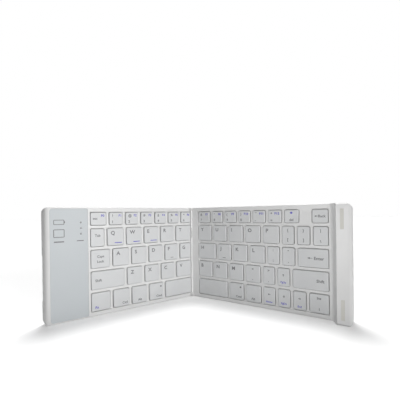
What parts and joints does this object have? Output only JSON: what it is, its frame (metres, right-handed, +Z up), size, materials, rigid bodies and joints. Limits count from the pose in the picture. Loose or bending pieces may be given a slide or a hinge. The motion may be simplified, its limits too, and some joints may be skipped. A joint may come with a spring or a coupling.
{
  "type": "folding keyboard",
  "caption": "White pocket keyboard in two hinged halves, standing half open, with low keys, a blank panel at one end and a raised battery bar at the other.",
  "frame": {"origin": "centre of the standing part's plan outline, on the surface it stands on", "axes": "+Z up, from the front edges that it stands on to the rear edges; the fold axis is parallel to Z, the V opens towards -Y, and +X runs from the half with the blank panel to the half with the battery bar"},
  "size_m": [0.2539, 0.0955, 0.096],
  "materials": {
    "casing_white": "satin",
    "cap_white": "matte",
    "panel_grey": "satin",
    "link_white": "satin",
    "dome_rubber": "matte",
    "sheet_film": "satin",
    "plate_steel": "satin",
    "hinge_steel": "satin",
    "board_green": "satin",
    "light_clear": "polished",
    "pad_rubber": "matte",
    "cell_wrap": "glossy",
    "contact_metal": "polished",
    "screw_white": "satin",
    "ribbon_film": "satin",
    "switch_grey": "satin"
  },
  "bodies": {
    "right_half": {"right_back_shell": "casing_white", "right_top_frame": "casing_white", "bar_cover": "casing_white", "battery_cells": "cell_wrap", "battery_contacts": "contact_metal", "right_key_plate": "plate_steel", "right_contact_sheet": "sheet_film", "right_dome_sheet": "dome_rubber", "right_scissor_links": "link_white", "right_screws": "screw_white", "right_pads": "pad_rubber", "right_hinge_leaves": "screw_white", "hinge_pins": "hinge_steel", "ribbon_cable": "ribbon_film"},
    "left_half": {"left_back_shell": "casing_white", "left_top_frame": "casing_white", "status_panel": "panel_grey", "controller_board": "board_green", "status_lights": "light_clear", "left_key_plate": "plate_steel", "left_contact_sheet": "sheet_film", "left_dome_sheet": "dome_rubber", "left_scissor_links": "link_white", "left_screws": "screw_white", "left_pads": "pad_rubber", "left_hinge_leaves": "screw_white"},
    "tongue": {"stand_tongue": "casing_white"},
    "switch": {"power_switch": "switch_grey"},
    "door": {"battery_door": "casing_white"},
    "key_space_left_body": {"key_space_left": "cap_white"},
    "keys_ctrl_alt_cmd_body": {"keys_ctrl_alt_cmd": "cap_white"},
    "key_fn_body": {"key_fn": "cap_white"},
    "keys_c_v_body": {"keys_c_v": "cap_white"},
    "keys_z_x_body": {"keys_z_x": "cap_white"},
    "key_shift_left_body": {"key_shift_left": "cap_white"},
    "keys_d_f_g_body": {"keys_d_f_g": "cap_white"},
    "keys_caps_a_s_body": {"keys_caps_a_s": "cap_white"},
    "keys_e_r_t_body": {"keys_e_r_t": "cap_white"},
    "keys_tab_q_w_body": {"keys_tab_q_w": "cap_white"},
    "keys_5_6_body": {"keys_5_6": "cap_white"},
    "keys_3_4_body": {"keys_3_4": "cap_white"},
    "keys_esc_1_2_body": {"keys_esc_1_2": "cap_white"},
    "key_space_right_body": {"key_space_right": "cap_white"},
    "keys_cmd_alt_right_body": {"keys_cmd_alt_right": "cap_white"},
    "keys_left_down_right_body": {"keys_left_down_right": "cap_white"},
    "key_end_body": {"key_end": "cap_white"},
    "keys_b_n_body": {"keys_b_n": "cap_white"},
    "keys_m_comma_body": {"keys_m_comma": "cap_white"},
    "keys_period_up_body": {"keys_period_up": "cap_white"},
    "key_shift_right_body": {"key_shift_right": "cap_white"},
    "keys_h_j_body": {"keys_h_j": "cap_white"},
    "keys_k_l_body": {"keys_k_l": "cap_white"},
    "keys_semicolon_quote_body": {"keys_semicolon_quote": "cap_white"},
    "key_enter_body": {"key_enter": "cap_white"},
    "keys_y_u_body": {"keys_y_u": "cap_white"},
    "keys_i_o_p_body": {"keys_i_o_p": "cap_white"},
    "keys_brackets_body": {"keys_brackets": "cap_white"},
    "keys_7_8_9_body": {"keys_7_8_9": "cap_white"},
    "keys_0_minus_equals_body": {"keys_0_minus_equals": "cap_white"},
    "keys_grave_backspace_body": {"keys_grave_backspace": "cap_white"}
  },
  "joints": [
    {"name": "fold", "type": "hinge", "parent": "right_half", "child": "left_half", "pos_m": [-0.005, 0.0379, 0.048], "axis": [0, 0, 1], "range_deg": [-65, 115], "deforming": ["ribbon_cable"]},
    {"name": "stand_slide", "type": "slide", "parent": "left_half", "child": "tongue", "axis": [0.8434, 0.5373, 0], "range_m": [-0.045, 0]},
    {"name": "switch_slide", "type": "slide", "parent": "left_half", "child": "switch", "axis": [-0.8434, -0.5373, 0], "range_m": [0, 0.0025]},
    {"name": "door_slide", "type": "slide", "parent": "right_half", "child": "door", "axis": [0.8434, -0.5373, 0], "range_m": [0, 0.012]},
    {"name": "key_space_left_press", "type": "slide", "parent": "left_half", "child": "key_space_left_body", "axis": [-0.5373, 0.8434, 0], "range_m": [0, 0.0015], "stiffness_N_per_m": 150, "springref_m": -0.001, "deforming": ["left_dome_sheet", "left_scissor_links"]},
    {"name": "keys_ctrl_alt_cmd_press", "type": "slide", "parent": "left_half", "child": "keys_ctrl_alt_cmd_body", "axis": [-0.5373, 0.8434, 0], "range_m": [0, 0.0015], "stiffness_N_per_m": 150, "springref_m": -0.001},
    {"name": "key_fn_press", "type": "slide", "parent": "left_half", "child": "key_fn_body", "axis": [-0.5373, 0.8434, 0], "range_m": [0, 0.0015], "stiffness_N_per_m": 150, "springref_m": -0.001},
    {"name": "keys_c_v_press", "type": "slide", "parent": "left_half", "child": "keys_c_v_body", "axis": [-0.5373, 0.8434, 0], "range_m": [0, 0.0015], "stiffness_N_per_m": 150, "springref_m": -0.001},
    {"name": "keys_z_x_press", "type": "slide", "parent": "left_half", "child": "keys_z_x_body", "axis": [-0.5373, 0.8434, 0], "range_m": [0, 0.0015], "stiffness_N_per_m": 150, "springref_m": -0.001},
    {"name": "key_shift_left_press", "type": "slide", "parent": "left_half", "child": "key_shift_left_body", "axis": [-0.5373, 0.8434, 0], "range_m": [0, 0.0015], "stiffness_N_per_m": 150, "springref_m": -0.001},
    {"name": "keys_d_f_g_press", "type": "slide", "parent": "left_half", "child": "keys_d_f_g_body", "axis": [-0.5373, 0.8434, 0], "range_m": [0, 0.0015], "stiffness_N_per_m": 150, "springref_m": -0.001},
    {"name": "keys_caps_a_s_press", "type": "slide", "parent": "left_half", "child": "keys_caps_a_s_body", "axis": [-0.5373, 0.8434, 0], "range_m": [0, 0.0015], "stiffness_N_per_m": 150, "springref_m": -0.001},
    {"name": "keys_e_r_t_press", "type": "slide", "parent": "left_half", "child": "keys_e_r_t_body", "axis": [-0.5373, 0.8434, 0], "range_m": [0, 0.0015], "stiffness_N_per_m": 150, "springref_m": -0.001},
    {"name": "keys_tab_q_w_press", "type": "slide", "parent": "left_half", "child": "keys_tab_q_w_body", "axis": [-0.5373, 0.8434, 0], "range_m": [0, 0.0015], "stiffness_N_per_m": 150, "springref_m": -0.001},
    {"name": "keys_5_6_press", "type": "slide", "parent": "left_half", "child": "keys_5_6_body", "axis": [-0.5373, 0.8434, 0], "range_m": [0, 0.0015], "stiffness_N_per_m": 150, "springref_m": -0.001},
    {"name": "keys_3_4_press", "type": "slide", "parent": "left_half", "child": "keys_3_4_body", "axis": [-0.5373, 0.8434, 0], "range_m": [0, 0.0015], "stiffness_N_per_m": 150, "springref_m": -0.001},
    {"name": "keys_esc_1_2_press", "type": "slide", "parent": "left_half", "child": "keys_esc_1_2_body", "axis": [-0.5373, 0.8434, 0], "range_m": [0, 0.0015], "stiffness_N_per_m": 150, "springref_m": -0.001},
    {"name": "key_space_right_press", "type": "slide", "parent": "right_half", "child": "key_space_right_body", "axis": [0.5373, 0.8434, 0], "range_m": [0, 0.0015], "stiffness_N_per_m": 150, "springref_m": -0.001, "deforming": ["right_dome_sheet", "right_scissor_links"]},
    {"name": "keys_cmd_alt_right_press", "type": "slide", "parent": "right_half", "child": "keys_cmd_alt_right_body", "axis": [0.5373, 0.8434, 0], "range_m": [0, 0.0015], "stiffness_N_per_m": 150, "springref_m": -0.001},
    {"name": "keys_left_down_right_press", "type": "slide", "parent": "right_half", "child": "keys_left_down_right_body", "axis": [0.5373, 0.8434, 0], "range_m": [0, 0.0015], "stiffness_N_per_m": 150, "springref_m": -0.001},
    {"name": "key_end_press", "type": "slide", "parent": "right_half", "child": "key_end_body", "axis": [0.5373, 0.8434, 0], "range_m": [0, 0.0015], "stiffness_N_per_m": 150, "springref_m": -0.001},
    {"name": "keys_b_n_press", "type": "slide", "parent": "right_half", "child": "keys_b_n_body", "axis": [0.5373, 0.8434, 0], "range_m": [0, 0.0015], "stiffness_N_per_m": 150, "springref_m": -0.001},
    {"name": "keys_m_comma_press", "type": "slide", "parent": "right_half", "child": "keys_m_comma_body", "axis": [0.5373, 0.8434, 0], "range_m": [0, 0.0015], "stiffness_N_per_m": 150, "springref_m": -0.001},
    {"name": "keys_period_up_press", "type": "slide", "parent": "right_half", "child": "keys_period_up_body", "axis": [0.5373, 0.8434, 0], "range_m": [0, 0.0015], "stiffness_N_per_m": 150, "springref_m": -0.001},
    {"name": "key_shift_right_press", "type": "slide", "parent": "right_half", "child": "key_shift_right_body", "axis": [0.5373, 0.8434, 0], "range_m": [0, 0.0015], "stiffness_N_per_m": 150, "springref_m": -0.001},
    {"name": "keys_h_j_press", "type": "slide", "parent": "right_half", "child": "keys_h_j_body", "axis": [0.5373, 0.8434, 0], "range_m": [0, 0.0015], "stiffness_N_per_m": 150, "springref_m": -0.001},
    {"name": "keys_k_l_press", "type": "slide", "parent": "right_half", "child": "keys_k_l_body", "axis": [0.5373, 0.8434, 0], "range_m": [0, 0.0015], "stiffness_N_per_m": 150, "springref_m": -0.001},
    {"name": "keys_semicolon_quote_press", "type": "slide", "parent": "right_half", "child": "keys_semicolon_quote_body", "axis": [0.5373, 0.8434, 0], "range_m": [0, 0.0015], "stiffness_N_per_m": 150, "springref_m": -0.001},
    {"name": "key_enter_press", "type": "slide", "parent": "right_half", "child": "key_enter_body", "axis": [0.5373, 0.8434, 0], "range_m": [0, 0.0015], "stiffness_N_per_m": 150, "springref_m": -0.001},
    {"name": "keys_y_u_press", "type": "slide", "parent": "right_half", "child": "keys_y_u_body", "axis": [0.5373, 0.8434, 0], "range_m": [0, 0.0015], "stiffness_N_per_m": 150, "springref_m": -0.001},
    {"name": "keys_i_o_p_press", "type": "slide", "parent": "right_half", "child": "keys_i_o_p_body", "axis": [0.5373, 0.8434, 0], "range_m": [0, 0.0015], "stiffness_N_per_m": 150, "springref_m": -0.001},
    {"name": "keys_brackets_press", "type": "slide", "parent": "right_half", "child": "keys_brackets_body", "axis": [0.5373, 0.8434, 0], "range_m": [0, 0.0015], "stiffness_N_per_m": 150, "springref_m": -0.001},
    {"name": "keys_7_8_9_press", "type": "slide", "parent": "right_half", "child": "keys_7_8_9_body", "axis": [0.5373, 0.8434, 0], "range_m": [0, 0.0015], "stiffness_N_per_m": 150, "springref_m": -0.001},
    {"name": "keys_0_minus_equals_press", "type": "slide", "parent": "right_half", "child": "keys_0_minus_equals_body", "axis": [0.5373, 0.8434, 0], "range_m": [0, 0.0015], "stiffness_N_per_m": 150, "springref_m": -0.001},
    {"name": "keys_grave_backspace_press", "type": "slide", "parent": "right_half", "child": "keys_grave_backspace_body", "axis": [0.5373, 0.8434, 0], "range_m": [0, 0.0015], "stiffness_N_per_m": 150, "springref_m": -0.001}
  ]
}
